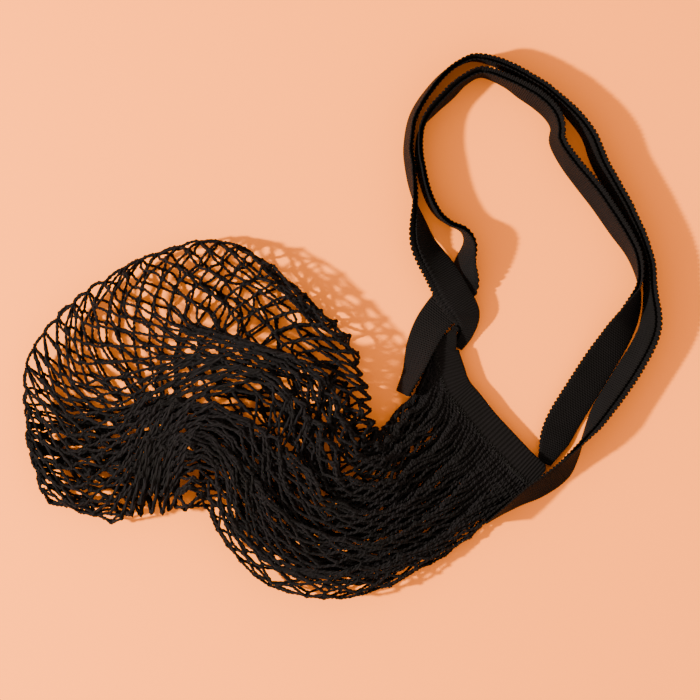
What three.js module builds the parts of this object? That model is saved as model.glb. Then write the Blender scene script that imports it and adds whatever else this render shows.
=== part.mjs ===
// String shopping bag with long handles, lying empty on a flat surface.
// Millimetres, +Z up. X runs from the bag's bottom to its handles, Y across it.
// The handle tapes are folded lengthways and stand on their fold, so each shows its open, looped edge.
import * as THREE from "three";

// Mouth of the bag, between its two corners
const MOUTH_LENGTH = 148;
const MOUTH_TURN = -55;
const MOUTH_GAP = 9;
const RIM_WIDTH = 25;
const RIM_THICKNESS = 2;
const RIM_SAG = 29;

// Handle tapes: a knitted tape folded in half along its length
const TAPE_WIDTH = 30;
const TAPE_LAYER = 1.2;
const TAPE_FOLD_GAP = 0.4;
const TAPE_OPEN_GAP = 1.8;
const TAPE_SETBACK = 5;
const HANDLE_SPREAD = 225;
const HANDLE_REACH = 324;
const CROSSING_LIFT = 13;

// Net body
const NET_LENGTH = 450;
const NET_WIDTH = 324;
const NET_RISE = 46;
const NET_WALL = 2.5;
const NET_HEM = 7;
const FOLD_DEPTH = 7;
const FOLD_COUNT = 4;
const CELLS_ROUND = 10;
const CELL_ROWS = 11;

// Fits
const CLEARANCE = 0.3;
const SEAM_GAP = 0.8;
const STEPS_PER_ROW = 3;

// Route of the outer handle, from the mouth's upper corner round to the lower corner and the net's side.
// seat: share of the way between the corners; x, y: shares of HANDLE_SPREAD and HANDLE_REACH from there;
// lift: share of CROSSING_LIFT; lean: degrees, open edge towards the outside of the loop;
// width: share of TAPE_WIDTH.
const OUTER_HANDLE = [
  { seat: 0, x: 0.004, y: -0.048, lift: 0.18, lean: 84, width: 0.3 },
  { seat: 0, x: 0.038, y: -0.008, lift: 0.28, lean: 82, width: 0.45 },
  { seat: 0, x: 0.036, y: 0.042, lift: 0.9, lean: 80, width: 0.85 },
  { seat: 0, x: -0.01, y: 0.094, lift: 1.05, lean: 80, width: 1 },
  { seat: 0, x: -0.06, y: 0.158, lift: 0.72, lean: 68, width: 1 },
  { seat: 0, x: -0.124, y: 0.231, lift: 0.2, lean: 46, width: 1 },
  { seat: 0, x: -0.152, y: 0.306, lift: 0, lean: 20, width: 1 },
  { seat: 0, x: -0.168, y: 0.372, lift: 0, lean: -4, width: 1 },
  { seat: 0, x: -0.184, y: 0.444, lift: 0, lean: -12, width: 1 },
  { seat: 0, x: -0.192, y: 0.514, lift: 0, lean: -11, width: 1 },
  { seat: 0, x: -0.164, y: 0.603, lift: 0, lean: -10, width: 1 },
  { seat: 0, x: -0.076, y: 0.689, lift: 0, lean: -8, width: 1 },
  { seat: 0, x: 0.004, y: 0.733, lift: 0, lean: -3, width: 1 },
  { seat: 0.25, x: -0.006, y: 0.842, lift: 0, lean: 0, width: 1 },
  { seat: 0.5, x: 0.02, y: 0.907, lift: 0, lean: 6, width: 1 },
  { seat: 0.75, x: 0.054, y: 0.95, lift: 0, lean: 8, width: 1 },
  { seat: 1, x: 0.048, y: 0.992, lift: 0, lean: 10, width: 1 },
  { seat: 1, x: 0.14, y: 0.917, lift: 0, lean: 14, width: 1 },
  { seat: 1, x: 0.192, y: 0.831, lift: 0, lean: 18, width: 1 },
  { seat: 1, x: 0.296, y: 0.7, lift: 0, lean: 16, width: 1 },
  { seat: 1, x: 0.372, y: 0.581, lift: 0, lean: 10, width: 1 },
  { seat: 1, x: 0.388, y: 0.486, lift: 0, lean: 10, width: 1 },
  { seat: 1, x: 0.392, y: 0.397, lift: 0, lean: 25, width: 1 },
  { seat: 1, x: 0.36, y: 0.331, lift: 0, lean: 30, width: 1 },
  { seat: 1, x: 0.284, y: 0.242, lift: 0, lean: 33, width: 1 },
  { seat: 1, x: 0.196, y: 0.15, lift: 0, lean: 25, width: 1 },
  { seat: 1, x: 0.14, y: 0.086, lift: 0, lean: 4, width: 1 },
  { seat: 1, x: 0.084, y: 0.022, lift: 0, lean: -22, width: 1 },
  { seat: 1, x: 0.036, y: -0.02, lift: 0, lean: -36, width: 1 },
  { seat: 1, x: -0.048, y: -0.061, lift: 0, lean: -36, width: 1 },
  { seat: 1, x: -0.132, y: -0.094, lift: 0, lean: -24, width: 1 },
  { seat: 1, x: -0.208, y: -0.128, lift: 0, lean: -14, width: 1 },
  { seat: 1, x: -0.264, y: -0.156, lift: 0, lean: -8, width: 1 },
];
const OUTER_HANDLE_END = 28;

// Route of the inner handle, from the side of the net past the upper corner round to the lower corner
const INNER_HANDLE = [
  { seat: 0, x: -0.212, y: -0.176, lift: 0, lean: -22, width: 1 },
  { seat: 0, x: -0.172, y: -0.115, lift: 0, lean: -34, width: 1 },
  { seat: 0, x: -0.142, y: -0.047, lift: 0, lean: -54, width: 1 },
  { seat: 0, x: -0.104, y: 0.01, lift: 0, lean: -68, width: 1 },
  { seat: 0, x: -0.054, y: 0.058, lift: 0, lean: -76, width: 1 },
  { seat: 0, x: -0.006, y: 0.092, lift: 0, lean: -78, width: 1 },
  { seat: 0, x: 0.026, y: 0.13, lift: 0, lean: -68, width: 1 },
  { seat: 0, x: 0.036, y: 0.183, lift: 0, lean: -38, width: 1 },
  { seat: 0, x: 0.052, y: 0.239, lift: 0, lean: -18, width: 1 },
  { seat: 0, x: 0.028, y: 0.275, lift: 0, lean: -4, width: 1 },
  { seat: 0, x: -0.028, y: 0.294, lift: 0, lean: 0, width: 1 },
  { seat: 0, x: -0.076, y: 0.322, lift: 0, lean: -4, width: 1 },
  { seat: 0, x: -0.112, y: 0.369, lift: 0, lean: -8, width: 1 },
  { seat: 0, x: -0.142, y: 0.444, lift: 0, lean: -9, width: 1 },
  { seat: 0, x: -0.15, y: 0.508, lift: 0, lean: -6, width: 1 },
  { seat: 0, x: -0.136, y: 0.564, lift: 0, lean: 0, width: 1 },
  { seat: 0, x: -0.092, y: 0.606, lift: 0, lean: 8, width: 1 },
  { seat: 0, x: -0.024, y: 0.652, lift: 0, lean: 12, width: 1 },
  { seat: 0, x: 0.036, y: 0.69, lift: 0, lean: 8, width: 1 },
  { seat: 0.25, x: 0.01, y: 0.802, lift: 0, lean: 6, width: 1 },
  { seat: 0.5, x: 0.008, y: 0.872, lift: 0, lean: 10, width: 1 },
  { seat: 0.6, x: 0.034, y: 0.884, lift: 0, lean: 18, width: 1 },
  { seat: 0.75, x: 0.04, y: 0.912, lift: 0, lean: 20, width: 1 },
  { seat: 1, x: -0.004, y: 0.972, lift: 0, lean: 18, width: 1 },
  { seat: 1, x: 0.02, y: 0.936, lift: 0, lean: 14, width: 1 },
  { seat: 1, x: 0.02, y: 0.895, lift: 0, lean: 18, width: 1 },
  { seat: 1, x: 0.062, y: 0.843, lift: 0, lean: 22, width: 1 },
  { seat: 1, x: 0.124, y: 0.788, lift: 0, lean: 26, width: 1 },
  { seat: 1, x: 0.192, y: 0.727, lift: 0, lean: 26, width: 1 },
  { seat: 1, x: 0.262, y: 0.655, lift: 0, lean: 24, width: 1 },
  { seat: 1, x: 0.318, y: 0.593, lift: 0, lean: 16, width: 1 },
  { seat: 1, x: 0.344, y: 0.536, lift: 0, lean: 4, width: 1 },
  { seat: 1, x: 0.344, y: 0.486, lift: 0, lean: -12, width: 1 },
  { seat: 1, x: 0.314, y: 0.425, lift: 0, lean: -40, width: 1 },
  { seat: 1, x: 0.262, y: 0.358, lift: 0, lean: -62, width: 1 },
  { seat: 1, x: 0.196, y: 0.286, lift: 0, lean: -74, width: 1 },
  { seat: 1, x: 0.126, y: 0.208, lift: 0, lean: -78, width: 1 },
  { seat: 1, x: 0.058, y: 0.131, lift: 0, lean: -80, width: 1 },
  { seat: 1, x: 0.018, y: 0.075, lift: 0.1, lean: -82, width: 0.9 },
  { seat: 1, x: -0.008, y: 0.034, lift: 0.18, lean: -84, width: 0.6 },
  { seat: 1, x: -0.026, y: 0.006, lift: 0.18, lean: -84, width: 0.4 },
];
const INNER_HANDLE_START = 5;

// Mouth bands. along: share of MOUTH_LENGTH; sag: share of RIM_SAG; width: share of RIM_WIDTH
const RIM = [
  { along: -0.005, sag: 0.06, width: 0.12 },
  { along: 0.025, sag: 0.32, width: 0.5 },
  { along: 0.06, sag: 0.63, width: 0.92 },
  { along: 0.155, sag: 0.82, width: 1 },
  { along: 0.285, sag: 1.0, width: 1 },
  { along: 0.405, sag: 0.96, width: 1 },
  { along: 0.55, sag: 0.92, width: 1 },
  { along: 0.71, sag: 0.81, width: 1 },
  { along: 0.87, sag: 0.69, width: 1 },
  { along: 0.993, sag: 0.555, width: 1 },
];
const SEAM_START = 2 / (RIM.length - 1);

// Cross-sections of the net past its seam, from the mouth to the bottom.
// upper, lower: the outline's two sides, in shares of NET_LENGTH and NET_WIDTH from the mouth's middle;
// rise: share of NET_RISE; fold: share of FOLD_DEPTH; gap: share of a mesh left open.
const NET = [
  { upper: [-0.173, 0.034], lower: [-0.031, -0.328], rise: 0.45, fold: 0.3, gap: 0.55 },
  { upper: [-0.208, -0.008], lower: [-0.126, -0.433], rise: 0.62, fold: 0.7, gap: 0.6 },
  { upper: [-0.244, -0.044], lower: [-0.236, -0.519], rise: 0.76, fold: 1, gap: 0.62 },
  { upper: [-0.26, -0.003], lower: [-0.356, -0.556], rise: 0.86, fold: 1, gap: 0.64 },
  { upper: [-0.282, 0.119], lower: [-0.47, -0.528], rise: 0.9, fold: 1, gap: 0.68 },
  { upper: [-0.342, 0.211], lower: [-0.562, -0.411], rise: 0.92, fold: 1, gap: 0.72 },
  { upper: [-0.426, 0.303], lower: [-0.61, -0.314], rise: 0.96, fold: 1, gap: 0.76 },
  { upper: [-0.512, 0.397], lower: [-0.686, -0.308], rise: 1, fold: 1, gap: 0.78 },
  { upper: [-0.6, 0.419], lower: [-0.776, -0.353], rise: 1, fold: 0.9, gap: 0.8 },
  { upper: [-0.702, 0.392], lower: [-0.862, -0.339], rise: 0.94, fold: 0.8, gap: 0.8 },
  { upper: [-0.802, 0.317], lower: [-0.932, -0.278], rise: 0.84, fold: 0.6, gap: 0.8 },
  { upper: [-0.882, 0.208], lower: [-0.948, -0.147], rise: 0.64, fold: 0.3, gap: 0.76 },
  { upper: [-0.934, 0.069], lower: [-0.95, -0.022], rise: 0.42, fold: 0, gap: 0.7 },
];

// Step of the share that gives a curve's direction
const PROBE = 0.004;

const UP = new THREE.Vector3(0, 0, 1);
const mouthAngle = THREE.MathUtils.degToRad(MOUTH_TURN);
const mouthAlong = new THREE.Vector2(Math.cos(mouthAngle), Math.sin(mouthAngle));
const netSide = new THREE.Vector2(mouthAlong.y, -mouthAlong.x);
const upperCorner = mouthAlong.clone().multiplyScalar(-MOUTH_LENGTH / 2);

// Smooth curves through the columns of a table, read at a share of its rows
function columns(rows, ...readers) {
  const curves = readers.map((read) => {
    const values = rows.map((row) => new THREE.Vector3(read(row), 0, 0));
    return new THREE.CatmullRomCurve3(values, false, "catmullrom", 0.5);
  });
  return (share) => curves.map((curve) => curve.getPoint(THREE.MathUtils.clamp(share, 0, 1)).x);
}

// A mesh's geometry from its corners and triangles, turned outwards if it came out inside out
function closedGeometry(points, triangles) {
  let volume = 0;
  const normal = new THREE.Vector3();
  for (const [a, b, c] of triangles) volume += points[a].dot(normal.crossVectors(points[b], points[c]));
  const faces = volume < 0 ? triangles.map(([a, b, c]) => [a, c, b]) : triangles;
  const geometry = new THREE.BufferGeometry();
  const coordinates = points.flatMap((p) => p.toArray());
  geometry.setAttribute("position", new THREE.Float32BufferAttribute(coordinates, 3));
  geometry.setIndex(faces.flat());
  geometry.computeVertexNormals();
  return geometry;
}

// Closed solid through a row of like sections; outline is their flat shape, for the ends
function sweptGeometry(sections, outline) {
  const size = outline.length;
  const points = sections.flat();
  const triangles = [];
  for (let ring = 0; ring + 1 < sections.length; ring += 1) {
    for (let k = 0; k < size; k += 1) {
      const next = (k + 1) % size;
      const [a, b] = [ring * size + k, ring * size + next];
      triangles.push([a, b, b + size], [a, b + size, a + size]);
    }
  }
  const last = (sections.length - 1) * size;
  for (const [a, b, c] of THREE.ShapeUtils.triangulateShape(outline, [])) {
    triangles.push([c, b, a], [last + a, last + b, last + c]);
  }
  return closedGeometry(points, triangles);
}

// Section of the folded tape: x across it from fold to open edge, y through it towards the outer layer
function tapeOutline(width) {
  const half = width / 2;
  const foldOuter = TAPE_FOLD_GAP / 2 + TAPE_LAYER;
  const openOuter = TAPE_OPEN_GAP / 2 + TAPE_LAYER;
  const setBack = half - TAPE_SETBACK * (width / TAPE_WIDTH);
  return [
    new THREE.Vector2(-half, -foldOuter),
    new THREE.Vector2(setBack, -openOuter),
    new THREE.Vector2(setBack, -TAPE_OPEN_GAP / 2),
    new THREE.Vector2(-half + TAPE_LAYER, -TAPE_FOLD_GAP / 2),
    new THREE.Vector2(-half + TAPE_LAYER, TAPE_FOLD_GAP / 2),
    new THREE.Vector2(half, TAPE_OPEN_GAP / 2),
    new THREE.Vector2(half, openOuter),
    new THREE.Vector2(-half, foldOuter),
  ];
}

// Route of a tape over the ground, leaned and lifted so that its lowest edge lies at the stated lift
function tapeRoute(rows) {
  const plan = rows.map((row) => {
    const at = upperCorner.clone().addScaledVector(mouthAlong, row.seat * MOUTH_LENGTH);
    return { ...row, planX: at.x + row.x * HANDLE_SPREAD, planY: at.y + row.y * HANDLE_REACH };
  });
  const read = columns(
    plan,
    (row) => row.planX,
    (row) => row.planY,
    (row) => row.lift * CROSSING_LIFT,
    (row) => THREE.MathUtils.degToRad(row.lean),
    (row) => row.width * TAPE_WIDTH,
  );
  return (share) => {
    const [x, y, rawLift, lean, width] = read(share);
    const lift = Math.max(rawLift, 0);
    const outline = tapeOutline(width);
    const low = Math.min(...outline.map((p) => p.x * Math.cos(lean) - p.y * Math.sin(lean)));
    return { middle: new THREE.Vector3(x, y, lift - low), lean, lift, outline };
  };
}

// Folded tape along a route, between two rows of its table
function foldedTape(rows, firstRow, lastRow, startGap, endGap) {
  const route = tapeRoute(rows);
  const steps = Math.round((lastRow - firstRow) * STEPS_PER_ROW);
  const share = (row) => row / (rows.length - 1);
  const sections = [];
  for (let step = 0; step <= steps; step += 1) {
    const at = share(firstRow + ((lastRow - firstRow) * step) / steps);
    const { middle, lean, lift, outline } = route(at);
    const behind = route(Math.max(at - PROBE, 0)).middle;
    const ahead = route(Math.min(at + PROBE, 1)).middle;
    const along = ahead.sub(behind).normalize();
    const outward = UP.clone().cross(along).normalize();
    const upward = along.clone().cross(outward);
    const [cos, sin] = [Math.cos(lean), Math.sin(lean)];
    const across = upward.clone().multiplyScalar(cos).addScaledVector(outward, sin);
    const through = outward.clone().multiplyScalar(cos).addScaledVector(upward, -sin);
    if (step === 0) middle.addScaledVector(along, startGap);
    if (step === steps) middle.addScaledVector(along, -endGap);
    const place = (p) => middle.clone().addScaledVector(across, p.x).addScaledVector(through, p.y);
    const section = outline.map(place);
    const low = Math.min(...section.map((p) => p.z));
    section.forEach((p) => p.setZ(p.z + lift - low));
    sections.push(section);
  }
  return sweptGeometry(sections, tapeOutline(TAPE_WIDTH));
}

// Middle line, direction and half width of the mouth bands at a share of their length
const readRim = columns(
  RIM,
  (row) => row.along * MOUTH_LENGTH,
  (row) => row.sag * RIM_SAG,
  (row) => row.width * RIM_WIDTH,
);

function rimPlace(share) {
  const place = (at) => {
    const [along, sag] = readRim(at);
    return upperCorner.clone().addScaledVector(mouthAlong, along).addScaledVector(netSide, sag);
  };
  const middle = place(share);
  const along = place(Math.min(share + PROBE, 1)).sub(place(Math.max(share - PROBE, 0))).normalize();
  const toNet = new THREE.Vector2(along.y, -along.x);
  return { middle, toNet, halfWidth: readRim(share)[2] / 2 };
}

// Flat knitted band along the mouth, its underside at the stated height
function mouthBand(underside) {
  const steps = (RIM.length - 1) * STEPS_PER_ROW;
  const corners = [
    new THREE.Vector2(-1, 0),
    new THREE.Vector2(1, 0),
    new THREE.Vector2(1, 1),
    new THREE.Vector2(-1, 1),
  ];
  const sections = [];
  for (let step = 0; step <= steps; step += 1) {
    const { middle, toNet, halfWidth } = rimPlace(step / steps);
    sections.push(
      corners.map(({ x: side, y: level }) => {
        const at = middle.clone().addScaledVector(toNet, side * halfWidth);
        return new THREE.Vector3(at.x, at.y, underside + level * RIM_THICKNESS);
      }),
    );
  }
  return sweptGeometry(sections, corners);
}

// Seam between band and net at a share of the seam
function seamPoint(share) {
  const { middle, toNet, halfWidth } = rimPlace(SEAM_START + (1 - SEAM_START) * share);
  return middle.addScaledVector(toNet, halfWidth + SEAM_GAP);
}

// Table of the net with its seam as the first row
const seamUpper = seamPoint(0);
const seamLower = seamPoint(1);
const mouthRise = MOUTH_GAP + 1.5 * RIM_THICKNESS - NET_WALL / 2;
const netRows = [
  { upper: seamUpper, lower: seamLower, rise: mouthRise, fold: 0, gap: NET[0].gap },
  ...NET.map((row) => ({
    upper: new THREE.Vector2(row.upper[0] * NET_LENGTH, row.upper[1] * NET_WIDTH),
    lower: new THREE.Vector2(row.lower[0] * NET_LENGTH, row.lower[1] * NET_WIDTH),
    rise: row.rise * NET_RISE,
    fold: row.fold * FOLD_DEPTH,
    gap: row.gap,
  })),
];
const readNet = columns(
  netRows,
  (row) => row.upper.x,
  (row) => row.upper.y,
  (row) => row.lower.x,
  (row) => row.lower.y,
  (row) => row.rise,
  (row) => row.fold,
  (row) => row.gap,
);

// Point of the net's middle surface. along: 0 at the seam to 1 at the bottom; turn: angle round the section
const SIDE_ROUND = 0.9;
const TOP_ROUND = 0.75;
const FLOOR_ROUND = 0.4;
const SEAM_FADE = 0.2;

function netAtAngle(along, turn) {
  const [upperX, upperY, lowerX, lowerY, rise, fold] = readNet(along);
  const [cos, sin] = [Math.cos(turn), Math.sin(turn)];
  const across = 0.5 - 0.5 * Math.sign(cos) * Math.abs(cos) ** SIDE_ROUND;
  const onTop = sin > 0;
  const level = 0.5 + 0.5 * Math.sign(sin) * Math.abs(sin) ** (onTop ? TOP_ROUND : FLOOR_ROUND);
  const ripple = onTop ? fold * sin * sin * Math.cos(2 * Math.PI * FOLD_COUNT * across) : 0;
  const plan = new THREE.Vector2(upperX, upperY).lerp(new THREE.Vector2(lowerX, lowerY), across);
  const fade = Math.max(0, 1 - along / SEAM_FADE) ** 2;
  const bow = seamPoint(across).sub(seamUpper.clone().lerp(seamLower, across));
  plan.addScaledVector(bow, fade);
  return new THREE.Vector3(plan.x, plan.y, NET_WALL / 2 + rise * level + ripple);
}

// The same surface with turn measured as a share of the section's length, so that meshes come out even
const SECTION_POINTS = 96;
const sectionCache = new Map();

function sectionOf(along) {
  const key = along.toFixed(5);
  if (!sectionCache.has(key)) {
    const points = [];
    const lengths = [0];
    for (let k = 0; k <= SECTION_POINTS; k += 1) {
      points.push(netAtAngle(along, (2 * Math.PI * k) / SECTION_POINTS));
      if (k > 0) lengths.push(lengths[k - 1] + points[k].distanceTo(points[k - 1]));
    }
    sectionCache.set(key, { points, lengths });
  }
  return sectionCache.get(key);
}

function netPoint(round, along) {
  const { points, lengths } = sectionOf(along);
  const target = (((round % 1) + 1) % 1) * lengths[SECTION_POINTS];
  let k = 1;
  while (lengths[k] < target) k += 1;
  const part = (target - lengths[k - 1]) / (lengths[k] - lengths[k - 1]);
  return points[k - 1].clone().lerp(points[k], part);
}

function netNormal(round, along) {
  const low = Math.max(along - PROBE, 0);
  const high = Math.min(along + PROBE, 1);
  const overRound = netPoint(round + PROBE, along).sub(netPoint(round - PROBE, along));
  const overAlong = netPoint(round, high).sub(netPoint(round, low));
  const normal = overAlong.cross(overRound).normalize();
  if (along > 0) return normal;
  const { x, y } = rimPlace(0.5).toNet;
  const toNet = new THREE.Vector3(x, y, 0);
  return normal.addScaledVector(toNet, -normal.dot(toNet)).normalize();
}

// The hollow net: a wall of diamond meshes, each cut through, with a hem at the mouth and a closed bottom
function netGeometry() {
  const points = [];
  const triangles = [];
  const known = new Map();
  const wallPoint = (round, along, side) => {
    const key = [(((round % 1) + 1) % 1).toFixed(5), along.toFixed(5), side].join(" ");
    if (!known.has(key)) {
      known.set(key, points.length);
      points.push(netPoint(round, along).addScaledVector(netNormal(round, along), (side * NET_WALL) / 2));
    }
    return known.get(key);
  };
  const quad = (a, b, c, d) => triangles.push([a, b, c], [a, c, d]);

  // One mesh: on both faces a frame between its outline and the opening inside it, and the opening's walls
  const cell = (outline, gap) => {
    const size = outline.length;
    const middle = [0, 1].map((axis) => outline.reduce((sum, p) => sum + p[axis], 0) / size);
    const opening = outline.map((p) => p.map((value, axis) => middle[axis] + gap * (value - middle[axis])));
    const [edgeOut, edgeIn] = [1, -1].map((side) => outline.map((p) => wallPoint(...p, side)));
    const [openOut, openIn] = [1, -1].map((side) => opening.map((p) => wallPoint(...p, side)));
    for (let k = 0; k < size; k += 1) {
      const next = (k + 1) % size;
      quad(edgeOut[k], edgeOut[next], openOut[next], openOut[k]);
      quad(edgeIn[next], edgeIn[k], openIn[k], openIn[next]);
      quad(openOut[k], openOut[next], openIn[next], openIn[k]);
    }
  };

  const hemEnd = NET_HEM / NET_LENGTH;
  const level = (row) => hemEnd + ((1 - 2 * hemEnd) * row) / (CELL_ROWS + 1);
  const node = (column, row) => [(column + (row % 2) / 2) / CELLS_ROUND, level(row)];
  const between = (a, b) => [(a[0] + b[0]) / 2, (a[1] + b[1]) / 2];
  const following = (corners, k) => corners[(k + 1) % corners.length];
  const rounded = (corners) => corners.flatMap((p, k) => [p, between(p, following(corners, k))]);
  const gapAt = (along) => readNet(along)[6];

  for (let column = 0; column < CELLS_ROUND; column += 1) {
    for (let row = 1; row <= CELL_ROWS; row += 1) {
      const shift = row % 2;
      const top = node(column + shift, row - 1);
      const right = node(column + 1, row);
      const bottom = node(column + shift, row + 1);
      const left = node(column, row);
      cell(rounded([left, top, right, bottom]), gapAt(level(row)));
    }
    const last = CELL_ROWS + 1;
    const lastShift = last % 2;
    cell(rounded([node(column, 0), node(column + 1, 0), node(column, 1)]), gapAt(level(0)));
    const tip = node(column + lastShift, last - 1);
    cell(rounded([node(column + 1, last), node(column, last), tip]), gapAt(level(last)));
  }

  // Hem round the mouth and a plain ring round the bottom, then the bottom's two faces
  const halves = CELLS_ROUND * 2;
  const ring = (from, to, shift) => {
    for (let k = 0; k < halves; k += 1) {
      const [near, far] = [(k + shift) / halves, (k + 1 + shift) / halves];
      for (const side of [1, -1]) {
        const [first, second] = side > 0 ? [near, far] : [far, near];
        const [a, b] = [wallPoint(first, from, side), wallPoint(second, from, side)];
        quad(a, b, wallPoint(second, to, side), wallPoint(first, to, side));
      }
    }
  };
  const bottomShift = (CELL_ROWS + 1) % 2;
  ring(0, hemEnd, 0);
  ring(level(CELL_ROWS + 1), 1, bottomShift);
  for (const side of [1, -1]) {
    const centre = points.length;
    points.push(new THREE.Vector3());
    for (let k = 0; k < halves; k += 1) {
      const [near, far] = [(k + bottomShift) / halves, (k + 1 + bottomShift) / halves];
      const [a, b] = [wallPoint(near, 1, side), wallPoint(far, 1, side)];
      points[centre].addScaledVector(points[a], 1 / halves);
      triangles.push(side > 0 ? [centre, a, b] : [centre, b, a]);
    }
  }
  for (let k = 0; k < halves; k += 1) {
    const [near, far] = [k / halves, (k + 1) / halves];
    quad(wallPoint(near, 0, -1), wallPoint(far, 0, -1), wallPoint(far, 0, 1), wallPoint(near, 0, 1));
  }
  return closedGeometry(points, triangles);
}

function piece(name, geometry, color) {
  const material = new THREE.MeshStandardMaterial({ color, roughness: 0.9, metalness: 0 });
  const mesh = new THREE.Mesh(geometry, material);
  mesh.name = name;
  return mesh;
}

const STRING_COLOR = 0x16161a;
const TAPE_COLOR = 0x1a1a1e;
const outerLast = OUTER_HANDLE.length - 1;
const innerLast = INNER_HANDLE.length - 1;

const bag = new THREE.Group();
bag.add(
  piece("net_body", netGeometry(), STRING_COLOR),
  piece("rim_back", mouthBand(0), TAPE_COLOR),
  piece("rim_front", mouthBand(RIM_THICKNESS + MOUTH_GAP), TAPE_COLOR),
  piece("strap_front", foldedTape(OUTER_HANDLE, 0, OUTER_HANDLE_END, 0, CLEARANCE), TAPE_COLOR),
  piece("strap_back", foldedTape(INNER_HANDLE, INNER_HANDLE_START, innerLast, 0, 0), TAPE_COLOR),
  piece("side_tape_left", foldedTape(INNER_HANDLE, 0, INNER_HANDLE_START, 0, CLEARANCE), TAPE_COLOR),
  piece("side_tape_right", foldedTape(OUTER_HANDLE, OUTER_HANDLE_END, outerLast, 0, 0), TAPE_COLOR),
);

// The origin is under the middle of the whole bag, on the surface that it lies on
const extent = new THREE.Box3().setFromObject(bag);
const centre = extent.getCenter(new THREE.Vector3());
bag.position.set(-centre.x, -centre.y, -extent.min.z);

export default bag;
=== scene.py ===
"""String shopping bag with long handles, lying empty on a flat surface.

Metres, +Z up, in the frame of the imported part. The net is laid string by string over a table of
cross-sections, and the knitted tapes follow the same routes as the part's own.
"""

import bmesh
import bpy
import numpy as np
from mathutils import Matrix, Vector, noise


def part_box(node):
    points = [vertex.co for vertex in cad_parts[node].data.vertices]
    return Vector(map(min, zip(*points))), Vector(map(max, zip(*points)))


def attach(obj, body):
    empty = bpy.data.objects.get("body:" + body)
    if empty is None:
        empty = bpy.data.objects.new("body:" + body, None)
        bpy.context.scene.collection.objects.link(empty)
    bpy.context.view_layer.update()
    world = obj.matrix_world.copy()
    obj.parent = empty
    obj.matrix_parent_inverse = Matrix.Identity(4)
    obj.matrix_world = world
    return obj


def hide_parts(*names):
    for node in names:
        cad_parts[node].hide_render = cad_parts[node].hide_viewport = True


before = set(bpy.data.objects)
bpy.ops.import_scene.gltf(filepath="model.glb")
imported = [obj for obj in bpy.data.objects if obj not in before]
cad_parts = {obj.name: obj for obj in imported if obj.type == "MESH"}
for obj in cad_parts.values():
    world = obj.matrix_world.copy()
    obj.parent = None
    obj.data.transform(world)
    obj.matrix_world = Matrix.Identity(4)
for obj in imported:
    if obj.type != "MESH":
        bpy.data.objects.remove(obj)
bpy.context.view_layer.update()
chance = np.random.default_rng(7)
# noise_vector reads its place in the noise from this seed, and from the clock without it
noise.seed_set(2)

# Mouth of the bag
MOUTH_LENGTH = 0.148
MOUTH_TURN = np.radians(-55)
MOUTH_GAP = 0.009
RIM_WIDTH = 0.025
RIM_THICKNESS = 0.002
RIM_SAG = 0.029
RIM_RIB = 0.0026
RIM_SHEET = RIM_THICKNESS * 0.85
RIM_SECTION_POINTS = 15
# Stations along a band in the part's solids, and half the share over which its direction is taken
RIM_STATIONS = 28
RIM_PROBE = 0.004
# Ripple of the free edge: height, pace along the band's steps and lane in the noise for a height
RIM_RIPPLE = 0.0008
RIM_RIPPLE_PACE = 0.09
RIM_RIPPLE_LANE = 900
# Ridge at the seam and roll at the mouth's edge: heights, and places across in shares of half the width
RIDGE_HEIGHT = 0.0006
RIDGE_PLACE = 0.82
RIDGE_WIDTH = 0.09
ROLL_DROP = 0.0005
ROLL_WIDTH = 0.2
# Ends of the bands under the tapes: how far they run on, and how much wider or narrower they get
BAND_TUCK = 0.004
UPPER_TUCK_WIDER = 1
LOWER_TUCK_NARROWER = 0.3

# Knitted tapes, folded lengthways
TAPE_WIDTH = 0.03
TAPE_SHEET = 0.0011
TAPE_FOLD_RADIUS = 0.0008
TAPE_OPENING = 0.0015
TAPE_SETBACK = 0.005
# Points across each leaf of the fold, and places at which a route's length is measured
TAPE_POINTS = 8
ROUTE_POINTS = 600
# One loop of the open edge in shares of its height, step by step
PICOT_LOOP = np.array([0, 0.75, 1, 0.75])
PICOT_PITCH = 0.0039
PICOT_HEIGHT = 0.0017
PICOT_SWELL = 0.0007
RIB_DEPTH = 0.00016
# Waves of the open edges: height, pace along the tape's steps and lane in the noise
EDGE_WAVES = [(0.0009, 0.045, 3.7), (0.0004, 0.21, 8.1)]
HANDLE_SPREAD = 0.225
HANDLE_REACH = 0.324
CROSSING_LIFT = 0.013

# Net
NET_LENGTH = 0.45
NET_WIDTH = 0.324
NET_RISE = 0.046
COLUMNS = 64
LINK_LENGTH = 0.0165
LOOP_POINTS = 721
# Rows over which the net closes at its bottom, and how full its two sheets are at their sides
END_ROWS = 9
UPPER_FULLNESS = 0.75
LOWER_FULLNESS = 0.4

# String, drawn with some samples from one control point to the next and twisted by radians a sample
STRING_RADIUS = 0.00135
STRING_SIDES = 5
STRING_FLATNESS = 0.14
STRING_TWIST = 0.9
SAMPLES = 4
# Lowest height of its middle line, and how its thickness varies, in shares of the radius
LOWEST_KNOT = 1.1
LOWEST_STRING = 1.7
CHAIN_BUMP = 0.17
JOINT_THICKNESS = 1.16
FREE_THICKNESS = 0.97
THINNEST = 0.93
THICKEST = 1.07
# Two strings run side by side at a knot: half the way, its most as a share of a row, and their places
# beside and above the knot in shares of the radius
JOINT_HALF = 0.0008
JOINT_MOST = 0.22
JOINT_ASIDE = 0.95
JOINT_ABOVE = 0.5

# Seam, with overcast stitches from place to place across the band's outer half
SEAM_TUCK = 0.0015
STITCH_PITCH = 0.0036
SEAM_STITCH_FROM = 0.62
SEAM_STITCH_TO = 0.97
STITCH_WANDER = 0.02
# One stitch: how far across, and how high in shares of the thread's radius
STITCH_ACROSS = np.array([0, 0.5, 1, 0.5])
STITCH_HEIGHT = np.array([-0.6, 2.2, 0.4, 2.2])
STITCH_SAMPLES = 3
THREAD_RADIUS = 0.00042

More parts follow.
